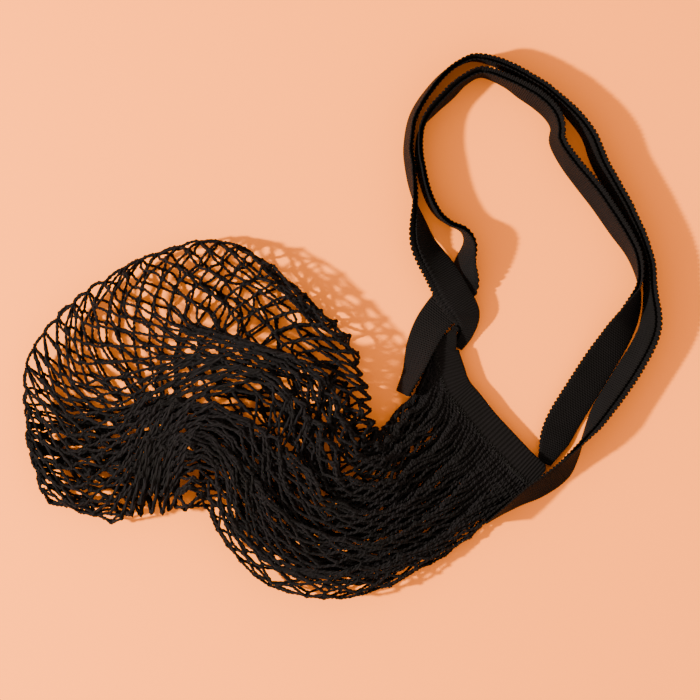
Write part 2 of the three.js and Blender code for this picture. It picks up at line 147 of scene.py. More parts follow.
# Strings lie straight in the neck's rows, and over some more rows they change to the loose fan
NECK_ROWS = 16
CHANGE_ROWS = 10
# Most that a link bows and a knot is moved by its links, with the least share of it for a link's bow and
# for knots whose rows are squeezed together
MOST_BOW = 0.0022
NECK_BOW = 0.0008
LEAST_BOW_SHARE = 0.3
MOST_SHIFT = 0.008
NECK_SHIFT = 0.0034
SQUEEZED_SHARE = 0.3
# Two noises that shift the knots, by wave length and height. They come in over the rows after the seam.
SEAM_ROWS = 6
BROAD_WAVE = 0.03
BROAD_SHIFT = 0.004
SMALL_WAVE = 0.011
SMALL_SHIFT = 0.0012
SMALL_LANE = (5, 2, 9)
END_SCALLOP = 0.003
# Direction of a link's bow round the string: wave length of its noise, and noise and chance in radians
TURN_WAVE = 0.016
TURN_MOST = 5
TURN_CHANCE = 0.5
# Knots that lie closer than this are scattered and their links bow more, less so in the neck
CROWDED = 0.0075
CROWD_JITTER = 0.0018
CROWD_BOW = 0.003
CROWD_IN_NECK = 0.4
# Settling: how far a round pulls a long link in, pushes a short one out and keeps a knot's shift
SETTLE_ROUNDS = 70
LINK_PULL = 0.24
LINK_PUSH = 0.1
SHIFT_KEPT = 0.985

# Short ends at knots: places and thickness along one, how far it may lean, and the share of knots with one
NUB_LENGTH = 0.0032
NUB_PLACES = (-0.2, 0.5, 1)
NUB_THICKNESS = (1.15, 1.1, 0.7)
NUB_SPREAD = 0.7
NUB_FIRST_ROW = 4
NUB_SHARE = 0.14
NUB_SHARE_AT_END = 0.5

# Bows of the string that closes the bottom: least and most, most in shares of the gap, and place in it
CLOSING_BOW = (0.001, 0.0035)
CLOSING_BOW_SHARE = 0.3
CLOSING_BOW_AT = 0.28

MOUTH_ALONG = np.array([np.cos(MOUTH_TURN), np.sin(MOUTH_TURN)])
UPPER_CORNER = -0.5 * MOUTH_LENGTH * MOUTH_ALONG
NET_SIDE = np.array([MOUTH_ALONG[1], -MOUTH_ALONG[0]])

# Route of the outer handle. Columns: seat, x, y, lift, lean, width, as in the part's own table.
OUTER_HANDLE = np.array([
    (0, 0.004, -0.048, 0.18, 84, 0.3),
    (0, 0.038, -0.008, 0.28, 82, 0.45),
    (0, 0.036, 0.042, 0.9, 80, 0.85),
    (0, -0.01, 0.094, 1.05, 80, 1),
    (0, -0.06, 0.158, 0.72, 68, 1),
    (0, -0.124, 0.231, 0.2, 46, 1),
    (0, -0.152, 0.306, 0, 20, 1),
    (0, -0.168, 0.372, 0, -4, 1),
    (0, -0.184, 0.444, 0, -12, 1),
    (0, -0.192, 0.514, 0, -11, 1),
    (0, -0.164, 0.603, 0, -10, 1),
    (0, -0.076, 0.689, 0, -8, 1),
    (0, 0.004, 0.733, 0, -3, 1),
    (0.25, -0.006, 0.842, 0, 0, 1),
    (0.5, 0.02, 0.907, 0, 6, 1),
    (0.75, 0.054, 0.95, 0, 8, 1),
    (1, 0.048, 0.992, 0, 10, 1),
    (1, 0.14, 0.917, 0, 14, 1),
    (1, 0.192, 0.831, 0, 18, 1),
    (1, 0.296, 0.7, 0, 16, 1),
    (1, 0.372, 0.581, 0, 10, 1),
    (1, 0.388, 0.486, 0, 10, 1),
    (1, 0.392, 0.397, 0, 25, 1),
    (1, 0.36, 0.331, 0, 30, 1),
    (1, 0.284, 0.242, 0, 33, 1),
    (1, 0.196, 0.15, 0, 25, 1),
    (1, 0.14, 0.086, 0, 4, 1),
    (1, 0.084, 0.022, 0, -22, 1),
    (1, 0.036, -0.02, 0, -36, 1),
    (1, -0.048, -0.061, 0, -36, 1),
    (1, -0.132, -0.094, 0, -24, 1),
    (1, -0.208, -0.128, 0, -14, 1),
    (1, -0.264, -0.156, 0, -8, 1),
])
OUTER_HANDLE_END = 28

INNER_HANDLE = np.array([
    (0, -0.212, -0.176, 0, -22, 1),
    (0, -0.172, -0.115, 0, -34, 1),
    (0, -0.142, -0.047, 0, -54, 1),
    (0, -0.104, 0.01, 0, -68, 1),
    (0, -0.054, 0.058, 0, -76, 1),
    (0, -0.006, 0.092, 0, -78, 1),
    (0, 0.026, 0.13, 0, -68, 1),
    (0, 0.036, 0.183, 0, -38, 1),
    (0, 0.052, 0.239, 0, -18, 1),
    (0, 0.028, 0.275, 0, -4, 1),
    (0, -0.028, 0.294, 0, 0, 1),
    (0, -0.076, 0.322, 0, -4, 1),
    (0, -0.112, 0.369, 0, -8, 1),
    (0, -0.142, 0.444, 0, -9, 1),
    (0, -0.15, 0.508, 0, -6, 1),
    (0, -0.136, 0.564, 0, 0, 1),
    (0, -0.092, 0.606, 0, 8, 1),
    (0, -0.024, 0.652, 0, 12, 1),
    (0, 0.036, 0.69, 0, 8, 1),
    (0.25, 0.01, 0.802, 0, 6, 1),
    (0.5, 0.008, 0.872, 0, 10, 1),
    (0.6, 0.034, 0.884, 0, 18, 1),
    (0.75, 0.04, 0.912, 0, 20, 1),
    (1, -0.004, 0.972, 0, 18, 1),
    (1, 0.02, 0.936, 0, 14, 1),
    (1, 0.02, 0.895, 0, 18, 1),
    (1, 0.062, 0.843, 0, 22, 1),
    (1, 0.124, 0.788, 0, 26, 1),
    (1, 0.192, 0.727, 0, 26, 1),
    (1, 0.262, 0.655, 0, 24, 1),
    (1, 0.318, 0.593, 0, 16, 1),
    (1, 0.344, 0.536, 0, 4, 1),
    (1, 0.344, 0.486, 0, -12, 1),
    (1, 0.314, 0.425, 0, -40, 1),
    (1, 0.262, 0.358, 0, -62, 1),
    (1, 0.196, 0.286, 0, -74, 1),
    (1, 0.126, 0.208, 0, -78, 1),
    (1, 0.058, 0.131, 0, -80, 1),
    (1, 0.018, 0.075, 0.1, -82, 0.9),
    (1, -0.008, 0.034, 0.18, -84, 0.6),
    (1, -0.026, 0.006, 0.18, -84, 0.4),
])
INNER_HANDLE_START = 5

# Mouth bands. Columns: along, sag, width, as in the part's own table.
RIM = np.array([
    (-0.005, 0.06, 0.12),
    (0.025, 0.32, 0.5),
    (0.06, 0.63, 0.92),
    (0.155, 0.82, 1),
    (0.285, 1.0, 1),
    (0.405, 0.96, 1),
    (0.55, 0.92, 1),
    (0.71, 0.81, 1),
    (0.87, 0.69, 1),
    (0.993, 0.555, 1),
])
SEAM_START = 2 / (len(RIM) - 1)

# Lines across the net past its seam, each through five places from its inner bend to its outer side,
# in shares of the net's length and width from the mouth's middle.
NET_LINES = np.array([
    [(-0.166, 0.032), (-0.134, -0.029), (-0.098, -0.113), (-0.062, -0.213), (-0.026, -0.324)],
    [(-0.202, -0.018), (-0.178, -0.101), (-0.152, -0.201), (-0.134, -0.318), (-0.12, -0.432)],
    [(-0.226, -0.076), (-0.22, -0.163), (-0.218, -0.276), (-0.224, -0.401), (-0.234, -0.518)],
    [(-0.246, -0.101), (-0.264, -0.182), (-0.29, -0.293), (-0.322, -0.429), (-0.356, -0.554)],
    [(-0.256, -0.09), (-0.302, -0.16), (-0.356, -0.257), (-0.414, -0.388), (-0.47, -0.524)],
    [(-0.26, -0.057), (-0.326, -0.074), (-0.4, -0.151), (-0.482, -0.285), (-0.554, -0.415)],
    [(-0.262, -0.007), (-0.346, 0.026), (-0.436, -0.04), (-0.526, -0.16), (-0.606, -0.307)],
    [(-0.274, 0.043), (-0.374, 0.099), (-0.49, 0.054), (-0.596, -0.063), (-0.646, -0.318)],
    [(-0.29, 0.099), (-0.406, 0.176), (-0.546, 0.154), (-0.676, 0.007), (-0.702, -0.335)],
    [(-0.314, 0.154), (-0.442, 0.26), (-0.614, 0.249), (-0.756, 0.071), (-0.766, -0.343)],
    [(-0.346, 0.21), (-0.49, 0.343), (-0.696, 0.31), (-0.842, 0.11), (-0.838, -0.324)],
    [(-0.386, 0.265), (-0.556, 0.421), (-0.79, 0.329), (-0.942, 0.076), (-0.916, -0.263)],
])
# Height of each line in shares of the net's rise, and the row of knots that lies on it. The seam is first.
LINE_RISE = np.array([0.24, 0.31, 0.48, 0.68, 0.82, 0.88, 0.92, 0.96, 1, 1, 0.98, 0.94, 0.9])
LINE_ROW = np.array([0, 3, 7, 11, 15, 18, 21, 24, 27, 30, 33, 36, 39])
ROWS = int(LINE_ROW[-1])

# Pleats that run down the net: place across it and depth of the fold, both in shares of its width,
# from the seam to the bottom
PLEATS_OVER = [
    {"place": (0.12, 0.12, 0.12, 0.1, 0.08, 0.06, 0.05), "depth": (0, 0.05, 0.07, 0.05, 0.02, 0, 0)},
    {"place": (0.26, 0.26, 0.26, 0.28, 0.36, 0.58, 0.66), "depth": (0, 0.05, 0.08, 0.1, 0.1, 0.02, 0)},
    {"place": (0.42, 0.42, 0.42, 0.42, 0.48, 0.68, 0.72), "depth": (0, 0.05, 0.08, 0.1, 0.08, 0, 0)},
    {"place": (0.58, 0.58, 0.56, 0.58, 0.68, 0.78, 0.8), "depth": (0, 0.05, 0.08, 0.1, 0.09, 0.03, 0)},
    {"place": (0.73, 0.73, 0.7, 0.73, 0.8, 0.85, 0.87), "depth": (0, 0.05, 0.08, 0.09, 0.08, 0.03, 0)},
    {"place": (0.88, 0.88, 0.85, 0.88, 0.91, 0.93, 0.94), "depth": (0, 0.06, 0.08, 0.06, 0.03, 0.01, 0)},
]
PLEATS_UNDER = [
    {"place": (0.2, 0.2, 0.2, 0.2, 0.24, 0.4, 0.5), "depth": (0, 0.05, 0.07, 0.09, 0.06, 0.03, 0)},
    {"place": (0.5, 0.5, 0.48, 0.46, 0.6, 0.7, 0.76), "depth": (0, 0.05, 0.08, 0.1, 0.08, 0.02, 0)},
    {"place": (0.66, 0.66, 0.64, 0.66, 0.74, 0.81, 0.84), "depth": (0, 0.05, 0.08, 0.1, 0.09, 0.03, 0)},
    {"place": (0.84, 0.84, 0.8, 0.82, 0.87, 0.9, 0.91), "depth": (0, 0.07, 0.09, 0.07, 0.04, 0.01, 0)},
]
PLEAT_WIDTH = 0.034
PLEAT_RISE = 0.011
FULL_PLEAT = 0.1
PLEAT_GATHER = 22
PLEAT_GATHER_WIDTH = 1.6

# Broad bands where a sheet lies gathered, in the same seven places along the net
LOWER_BAND_OVER = {
    "place": (0.6, 0.6, 0.66, 0.76, 0.82, 0.88, 0.92),
    "width": (0.5, 0.5, 0.36, 0.24, 0.12, 0.08, 0.08),
    "gather": (0, 0, 1, 2.4, 3.4, 0.5, 0),
}
LOWER_BAND_UNDER = {
    "place": (0.6, 0.6, 0.66, 0.76, 0.82, 0.87, 0.9),
    "width": (0.5, 0.5, 0.36, 0.22, 0.11, 0.075, 0.06),
    "gather": (0, 0, 1, 2.4, 4, 5.5, 6),
}
UPPER_BAND = {
    "place": (0.3, 0.3, 0.3, 0.34, 0.44, 0.62, 0.68),
    "width": (0.2, 0.2, 0.14, 0.12, 0.13, 0.07, 0.05),
    "gather": (0, 0, 0.6, 1.6, 3.6, 0.9, 0),
}
# Share of the net's width that is rolled over at each of its sides
FOLD_SHARE = 0.03


def read_between(values, share):
    """Smooth curve through evenly spaced values, read at shares from 0 to 1."""
    values = np.asarray(values, float)
    padded = np.concatenate([2 * values[:1] - values[1:2], values, 2 * values[-1:] - values[-2:-1]])
    at = np.clip(share, 0, 1) * (len(values) - 1)
    k = np.minimum(at.astype(int), len(values) - 2)
    t = (at - k).reshape(k.shape + (1,) * (values.ndim - 1))
    a, b, c, d = (padded[k + step] for step in range(4))
    return b + 0.5 * t * (c - a + t * (2 * a - 5 * b + 4 * c - d + t * (3 * (b - c) + d - a)))


def unit(vectors):
    return vectors / np.maximum(np.linalg.norm(vectors, axis=-1, keepdims=True), 1e-9)


def travelled(points):
    """Way covered at each point of a path."""
    steps = np.linalg.norm(np.diff(points, axis=0), axis=1)
    return np.concatenate([[0], np.cumsum(steps)])


def rim_place(share):
    """Middle line of the mouth bands, direction towards the net and half width."""
    def middle_at(at):
        along, sag, _ = read_between(RIM, at).T
        return UPPER_CORNER + np.outer(along * MOUTH_LENGTH, MOUTH_ALONG) + np.outer(sag * RIM_SAG, NET_SIDE)

    ahead = middle_at(np.minimum(share + RIM_PROBE, 1))
    behind = middle_at(np.maximum(share - RIM_PROBE, 0))
    along = unit(ahead - behind)
    to_net = np.column_stack([along[:, 1], -along[:, 0]])
    return middle_at(share), to_net, read_between(RIM, share)[:, 2] * RIM_WIDTH / 2


def band_corner():
    """Lowest corner of the back band in the mouth's own frame."""
    middle, to_net, half = rim_place(np.linspace(0, 1, RIM_STATIONS))
    edges = np.concatenate([middle + to_net * half[:, None], middle - to_net * half[:, None]])
    return edges.min(axis=0)


# Place of the mouth's middle in the part's frame
mouth_middle = np.array(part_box("rim_back")[0][:2]) - band_corner()


def to_frame(points):
    """Points moved from the mouth's own frame to the part's."""
    moved = np.array(points, float)
    moved[..., :2] += mouth_middle
    return moved


def finished(name, mesh, material, slot, *nodes):
    """A piece of the bag that stands for the named nodes."""
    piece = bpy.data.objects.new(name, mesh)
    bpy.context.scene.collection.objects.link(piece)
    mesh.materials.clear()
    mesh.materials.append(material)
    mesh.shade_smooth()
    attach(piece, "root")
    if nodes:
        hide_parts(*nodes)
    return piece


# Materials


def node_in(tree, kind, **settings):
    node = tree.nodes.new(kind)
    for key, value in settings.items():
        setattr(node, key, value)
    return node


def join(tree, source, output, target, socket):
    tree.links.new(source.outputs[output], target.inputs[socket])


def cotton_group():
    """Uneven dye, fuzz, the relief of a pattern and painted highlight and shade that follow that relief, for
    everything knitted or twisted from cotton.
    """
    group = bpy.data.node_groups.new("cotton_yarn", "ShaderNodeTree")
    sockets = group.interface
    sockets.new_socket("Place", in_out="INPUT", socket_type="NodeSocketVector")
    sockets.new_socket("Relief", in_out="INPUT", socket_type="NodeSocketFloat")
    sockets.new_socket("Dark", in_out="INPUT", socket_type="NodeSocketColor")
    sockets.new_socket("Light", in_out="INPUT", socket_type="NodeSocketColor")
    sockets.new_socket("Fuzz Scale", in_out="INPUT", socket_type="NodeSocketFloat")
    sockets.new_socket("Color", in_out="OUTPUT", socket_type="NodeSocketColor")
    sockets.new_socket("Roughness", in_out="OUTPUT", socket_type="NodeSocketFloat")
    sockets.new_socket("Normal", in_out="OUTPUT", socket_type="NodeSocketVector")
    given = node_in(group, "NodeGroupInput")
    result = node_in(group, "NodeGroupOutput")

    fuzz = node_in(group, "ShaderNodeTexNoise")
    fuzz.inputs["Detail"].default_value = 3
    join(group, given, "Place", fuzz, "Vector")
    join(group, given, "Fuzz Scale", fuzz, "Scale")
    dye = node_in(group, "ShaderNodeTexNoise")
    dye.inputs["Scale"].default_value = 35
    join(group, given, "Place", dye, "Vector")

    # Painted highlight and shade: raised yarn is painted paler than the gaps between the plies, as if it
    # caught more light
    raised = node_in(group, "ShaderNodeMath", operation="MULTIPLY_ADD")
    raised.inputs[1].default_value = 0.95
    join(group, given, "Relief", raised, 0)
    join(group, fuzz, "Fac", raised, 2)
    shade = node_in(group, "ShaderNodeMath", operation="MULTIPLY")
    join(group, raised, "Value", shade, 0)
    join(group, dye, "Fac", shade, 1)
    reach = node_in(group, "ShaderNodeMapRange")
    reach.inputs["From Min"].default_value = 0.15
    reach.inputs["From Max"].default_value = 0.8
    join(group, shade, "Value", reach, "Value")
    mix = node_in(group, "ShaderNodeMix", data_type="RGBA")
    join(group, reach, "Result", mix, 0)
    join(group, given, "Dark", mix, 6)
    join(group, given, "Light", mix, 7)
    group.links.new(mix.outputs[2], result.inputs["Color"])

    rough = node_in(group, "ShaderNodeMapRange")
    rough.inputs["To Min"].default_value = 0.78
    rough.inputs["To Max"].default_value = 0.96
    join(group, fuzz, "Fac", rough, "Value")
    join(group, rough, "Result", result, "Roughness")

    height = node_in(group, "ShaderNodeMath", operation="MULTIPLY_ADD")
    height.inputs[1].default_value = 0.45
    join(group, fuzz, "Fac", height, 0)
    join(group, given, "Relief", height, 2)
    bump = node_in(group, "ShaderNodeBump")
    bump.inputs["Strength"].default_value = 1
    bump.inputs["Distance"].default_value = 0.0011
    join(group, height, "Value", bump, "Height")
    join(group, bump, "Normal", result, "Normal")
    return group


def cotton_material(name, yarn, dark, light, fuzz_scale, sheen, relief):
    """Cotton whose relief is made by a function from the piece's own UV map."""
    material = bpy.data.materials.new(name)
    material.use_nodes = True
    tree = material.node_tree
    shader = tree.nodes["Principled BSDF"]
    shader.inputs["Specular IOR Level"].default_value = 0.12
    shader.inputs["Sheen Weight"].default_value = sheen
    shader.inputs["Sheen Roughness"].default_value = 0.45
    shader.inputs["Sheen Tint"].default_value = (0.62, 0.64, 0.72, 1)
    place = node_in(tree, "ShaderNodeTexCoord")
    cotton = node_in(tree, "ShaderNodeGroup", node_tree=yarn)
    cotton.inputs["Dark"].default_value = (*dark, 1)
    cotton.inputs["Light"].default_value = (*light, 1)
    cotton.inputs["Fuzz Scale"].default_value = fuzz_scale
    join(tree, place, "Object", cotton, "Place")
    tree.links.new(relief(tree, place), cotton.inputs["Relief"])
    join(tree, cotton, "Color", shader, "Base Color")
    join(tree, cotton, "Roughness", shader, "Roughness")
    join(tree, cotton, "Normal", shader, "Normal")
    return material


def waves(tree, place, turns, slant):
    """Waves along the first UV direction, slanted by the second."""
    split = node_in(tree, "ShaderNodeSeparateXYZ")
    join(tree, place, "UV", split, 0)
    along = node_in(tree, "ShaderNodeMath", operation="MULTIPLY")
    along.inputs[1].default_value = turns
    join(tree, split, "X", along, 0)
    phase = node_in(tree, "ShaderNodeMath", operation="MULTIPLY_ADD")
    phase.inputs[1].default_value = slant
    join(tree, split, "Y", phase, 0)
    join(tree, along, "Value", phase, 2)
    turn = node_in(tree, "ShaderNodeMath", operation="MULTIPLY")
    turn.inputs[1].default_value = 2 * np.pi
    join(tree, phase, "Value", turn, 0)
    wave = node_in(tree, "ShaderNodeMath", operation="SINE")
    join(tree, turn, "Value", wave, 0)
    level = node_in(tree, "ShaderNodeMapRange")
    level.inputs["From Min"].default_value = -1
    join(tree, wave, "Value", level, "Value")
    return level.outputs["Result"]


def plies(tree, place):
    """The string's twisted plies."""
    return waves(tree, place, ROWS * 7, 2)


def ribs(tree, place):
    """Knit ribs across a tape, broken into single stitches."""
    across = waves(tree, place, 1, 0)
    stitches = waves(tree, place, 0.5, 26)
    both = node_in(tree, "ShaderNodeMath", operation="MULTIPLY_ADD")
    both.inputs[1].default_value = 0.35
    tree.links.new(stitches, both.inputs[0])
    tree.links.new(across, both.inputs[2])
    return both.outputs["Value"]


yarn = cotton_group()
string_cotton = cotton_material(
    "string_cotton", yarn, (0.0002, 0.0002, 0.0003), (0.0037, 0.0029, 0.0045), 1400, 0.014, plies
)
tape_cotton = cotton_material(
    "tape_cotton", yarn, (0.0003, 0.0002, 0.0003), (0.0022, 0.0017, 0.0026), 1600, 0.008, ribs
)
thread_cotton = cotton_material(
    "thread_cotton", yarn, (0.001, 0.001, 0.0012), (0.005, 0.0048, 0.0055), 1800, 0.03, plies
)


# Tapes and bands


def sheet_mesh(name, places, rib_share):
    """A knitted sheet from its grid of places; rib_share is its UV along each row of the grid."""
    rows, across = places.shape[:2]
    bm = bmesh.new()
    uv_layer = bm.loops.layers.uv.new("UVMap")
    bmesh.ops.create_grid(bm, x_segments=rows - 1, y_segments=across - 1, size=0.5)
    for vert in bm.verts:
        row = round((vert.co.x + 0.5) * (rows - 1))
        side = round((vert.co.y + 0.5) * (across - 1))
        vert.co = places[row, side]
        for loop in vert.link_loops:
            loop[uv_layer].uv = (rib_share[row], side / (across - 1))
    mesh = bpy.data.meshes.new(name)
    bm.to_mesh(mesh)
    bm.free()
    return mesh


def thicken(piece, thickness):
    wall = piece.modifiers.new("wall", "SOLIDIFY")
    wall.thickness = thickness
    wall.offset = 0


def folded_profile():
    """Section of the folded tape: across it from fold to open edge, and through it."""
    half = TAPE_WIDTH / 2
    fold = -half + TAPE_FOLD_RADIUS
    inner = [(half - TAPE_SETBACK, -TAPE_OPENING), (fold, -TAPE_FOLD_RADIUS)]
    outer = [(fold, TAPE_FOLD_RADIUS), (half, TAPE_OPENING)]
    share = np.linspace(0, 1, TAPE_POINTS)[:, None]
    inner_line = np.array(inner[0]) + share * (np.array(inner[1]) - inner[0])
    outer_line = np.array(outer[0]) + share * (np.array(outer[1]) - outer[0])
    turn = np.radians([-130, -180, -230])
    round_fold = np.column_stack([fold + TAPE_FOLD_RADIUS * np.cos(turn), TAPE_FOLD_RADIUS * np.sin(turn)])
    return np.concatenate([inner_line, round_fold, outer_line])


def knit_tape(name, table, first, last, node):
    """A folded knitted tape between two rows of its route, with ribs and looped edges."""
    columns = table.copy()
    seat = UPPER_CORNER + np.outer(table[:, 0] * MOUTH_LENGTH, MOUTH_ALONG)
    columns[:, 1] = seat[:, 0] + table[:, 1] * HANDLE_SPREAD
    columns[:, 2] = seat[:, 1] + table[:, 2] * HANDLE_REACH
    columns[:, 3] *= CROSSING_LIFT
    columns[:, 4] = np.radians(table[:, 4])

    fine = np.linspace(first, last, ROUTE_POINTS) / (len(table) - 1)
    way = travelled(read_between(columns, fine)[:, 1:3])
    steps = len(PICOT_LOOP) * round(way[-1] / PICOT_PITCH)
    share = np.interp(np.linspace(0, way[-1], steps + 1), way, fine)
    _, x, y, lift, lean, width = read_between(columns, share).T
    along = unit(np.gradient(np.column_stack([x, y]), axis=0))
    outward = np.column_stack([-along[:, 1], along[:, 0]])

    profile = folded_profile()
    over = profile[:, 0][None, :] * width[:, None]
    through = np.repeat(profile[:, 1][None, :], steps + 1, axis=0)

    # Loops along both open edges, ribs over the whole width, and a slight flare of the open edges
    k = np.arange(steps + 1)
    loop = PICOT_LOOP[k % len(PICOT_LOOP)]
    over[:, 0] += PICOT_HEIGHT * loop * width
    over[:, -1] += PICOT_HEIGHT * np.roll(loop, 1) * width
    through[:, 0] -= PICOT_SWELL * loop
    through[:, -1] += PICOT_SWELL * np.roll(loop, 1)
    rib = RIB_DEPTH * np.where(k % 2 == 0, 1, -1)
    side_of = np.sign(profile[:, 1])[None, :]
    through += rib[:, None] * side_of
    openness = np.clip((profile[:, 0] + TAPE_WIDTH / 2) / TAPE_WIDTH, 0, 1)[None, :] ** 3
    flare = np.array([
        sum(height * noise.noise(Vector((step * pace, lane, 0))) for height, pace, lane in EDGE_WAVES)
        for step in k
    ])
    through += flare[:, None] * openness

    sideways = over * np.sin(lean)[:, None] + through * np.cos(lean)[:, None]
    height = over * np.cos(lean)[:, None] - through * np.sin(lean)[:, None]
    height += np.maximum(lift, 0)[:, None] + TAPE_SHEET / 2 - height.min(axis=1, keepdims=True)
    plan = np.column_stack([x, y])[:, None, :] + outward[:, None, :] * sideways[:, :, None]
    places = to_frame(np.concatenate([plan, height[:, :, None]], axis=2))
    mesh = sheet_mesh(name, places, k / 2)
    piece = finished(name, mesh, tape_cotton, "tape", node)
    thicken(piece, TAPE_SHEET)
    return piece


def tucked_in(middle, to_net, half):
    """The band's line with both ends run on a little way, under the tapes at the mouth's corners."""
    step = RIM_RIB / 2
    more = np.arange(1, round(BAND_TUCK / step) + 1)[:, None]
    before = middle[0] + more[::-1] * step * unit(middle[0] - middle[1])
    after = middle[-1] + more * step * unit(middle[-1] - middle[-2])
    shares = more[:, 0] / len(more)
    middle = np.concatenate([before, middle, after])
    first, last = np.repeat(to_net[:1], len(more), 0), np.repeat(to_net[-1:], len(more), 0)
    to_net = np.concatenate([first, to_net, last])
    wider = half[0] * (1 + UPPER_TUCK_WIDER * shares)
    narrower = half[-1] * (1 - LOWER_TUCK_NARROWER * shares)
    half = np.concatenate([wider, half, narrower])
    return middle, to_net, half


def knit_band(name, underside, node):
    """A knitted mouth band with a rolled edge at the mouth and a ridge where the net is sewn on."""
    steps = 2 * round(MOUTH_LENGTH / RIM_RIB)
    middle, to_net, half = tucked_in(*rim_place(np.linspace(0, 1, steps + 1)))
    steps = len(middle) - 1
    side = np.linspace(-1, 1, RIM_SECTION_POINTS)
    ridge = RIDGE_HEIGHT * np.exp(-(((side - RIDGE_PLACE) / RIDGE_WIDTH) ** 2))
    roll = ROLL_DROP * np.maximum(-side - (1 - ROLL_WIDTH), 0) / ROLL_WIDTH
    k = np.arange(steps + 1)
    plan = middle[:, None, :] + to_net[:, None, :] * (half[:, None] * side)[:, :, None]
    lane = underside * RIM_RIPPLE_LANE
    ripple = np.array([RIM_RIPPLE * noise.noise(Vector((step * RIM_RIPPLE_PACE, lane, 0))) for step in k])
    rib = RIB_DEPTH * np.where(k % 2 == 0, 1, -1)
    height = underside + RIM_THICKNESS / 2 + (ridge - roll)[None, :] + rib[:, None]
    height = height + ripple[:, None] * (1 - side[None, :]) / 2
    height = np.maximum(height, RIM_THICKNESS / 2)
    places = to_frame(np.concatenate([plan, height[:, :, None]], axis=2))
    piece = finished(name, sheet_mesh(name, places, k / 2), tape_cotton, "tape", node)
    thicken(piece, RIM_SHEET)
    return piece


# Net


def pleat_shift(pleats, bands, across, share):
    """How far a sheet is pushed across and up by its pleats, and how close its knots are drawn together."""
    push = np.zeros_like(across)
    rise = np.zeros_like(across)
    gather = np.ones_like(across)
    for pleat in pleats:
        place = read_between(pleat["place"], share).item()
        depth = read_between(pleat["depth"], share).item()
        away = (across - place) / PLEAT_WIDTH
        swing = away * np.exp(0.5 - away**2 / 2)
        push -= depth * swing
        rise += PLEAT_RISE * depth / FULL_PLEAT * swing
        gather += PLEAT_GATHER * depth * np.exp(-((away / PLEAT_GATHER_WIDTH) ** 2))
    for band in bands:
        place, width, most = (read_between(band[key], share).item() for key in ("place", "width", "gather"))
        gather += most * np.exp(-(((across - place) / width) ** 2))
    return push, rise, gather


def net_knots():
    """Places of the knots: rows from the seam to the bottom, each once round the net."""
    seam_share = SEAM_START + (1 - SEAM_START) * np.linspace(0, 1, NET_LINES.shape[1])
    middle, to_net, half = rim_place(seam_share)
    seam = middle + to_net * (half - SEAM_TUCK)[:, None]
    lines = np.concatenate([seam[None], NET_LINES * (NET_LENGTH, NET_WIDTH)])
    around = np.linspace(0, 1, LOOP_POINTS)
    on_top = around < 0.5
    knots = np.zeros((ROWS + 1, COLUMNS, 3))
    for row in range(ROWS + 1):
        share = np.interp(row, LINE_ROW, np.linspace(0, 1, len(LINE_ROW)))
        at = np.array([share])
        line = read_between(lines, at)[0]
        rise = read_between(LINE_RISE, at)[0] * NET_RISE
        across = np.where(on_top, 2 * around, 2 - 2 * around)
        over = pleat_shift(PLEATS_OVER, (LOWER_BAND_OVER, UPPER_BAND), across, at)
        under = pleat_shift(PLEATS_UNDER, (LOWER_BAND_UNDER,), across, at)
        push, lift, gather = (np.where(on_top, a, b) for a, b in zip(over, under))
        end = np.clip((row - (ROWS - END_ROWS)) / END_ROWS, 0, 1)
        bulge = np.sqrt(np.clip(4 * across * (1 - across), 0, 1)) * np.sqrt(1 - end**2)
        level = np.where(on_top, 0.5 + 0.5 * bulge**UPPER_FULLNESS, 0.5 - 0.5 * bulge**LOWER_FULLNESS)
        pressed = (across - FOLD_SHARE) / (1 - 2 * FOLD_SHARE)
        plan = read_between(line, np.clip(pressed + push, 0, 1))
        height = STRING_RADIUS + rise * level + lift * bulge
        loop = np.column_stack([plan, height])
        step = np.linalg.norm(np.diff(loop, axis=0), axis=1) * (gather[1:] + gather[:-1]) / 2
        way = np.concatenate([[0], np.cumsum(step)])
        wanted = (np.arange(COLUMNS) + (row % 2) / 2) / COLUMNS * way[-1]
        knots[row] = np.column_stack([np.interp(wanted, way, loop[:, axis]) for axis in range(3)])
    return knots


def calm(rows):
    """0 in the neck, where the strings lie in straight ropes, and 1 out in the fan."""
    return np.clip((rows - NECK_ROWS) / CHANGE_ROWS, 0, 1)


def crowding(knots):
    """How close each knot lies to its neighbours in the row, from 0 to 1."""
    apart = np.linalg.norm(np.roll(knots, -1, axis=1) - np.roll(knots, 1, axis=1), axis=2) / 2
    return np.clip(1 - apart / CROWDED, 0, 1)


def uneven(knots):
    """The same knots, shifted as a loose net lies."""
    loose = CROWD_IN_NECK + (1 - CROWD_IN_NECK) * calm(np.arange(ROWS + 1))
    crowd = crowding(knots) * loose[:, None]
    crowd[0] = 0
    shifted = knots + chance.normal(0, CROWD_JITTER, knots.shape) * crowd[:, :, None]
    for row in range(1, ROWS + 1):
        fade = min(row / SEAM_ROWS, 1)
        for column in range(COLUMNS):
            place = Vector(knots[row, column])
            broad = noise.noise_vector(place / BROAD_WAVE)
            small = noise.noise_vector(place / SMALL_WAVE + Vector(SMALL_LANE))
            shifted[row, column] += fade * (BROAD_SHIFT * np.array(broad) + SMALL_SHIFT * np.array(small))
            if row == ROWS:
                outward = unit((knots[row, column] - knots[row - 3, column]) * (1, 1, 0))
                shifted[row, column] += END_SCALLOP * outward * small[2]
    return shifted


def links_of(knots, row):
    """Ends of the links below a row: same column, and the neighbour that the zigzag swings to."""
    other = np.roll(knots[row + 1], 1, axis=0) if row % 2 == 0 else np.roll(knots[row + 1], -1, axis=0)
    return knots[row], knots[row + 1], other


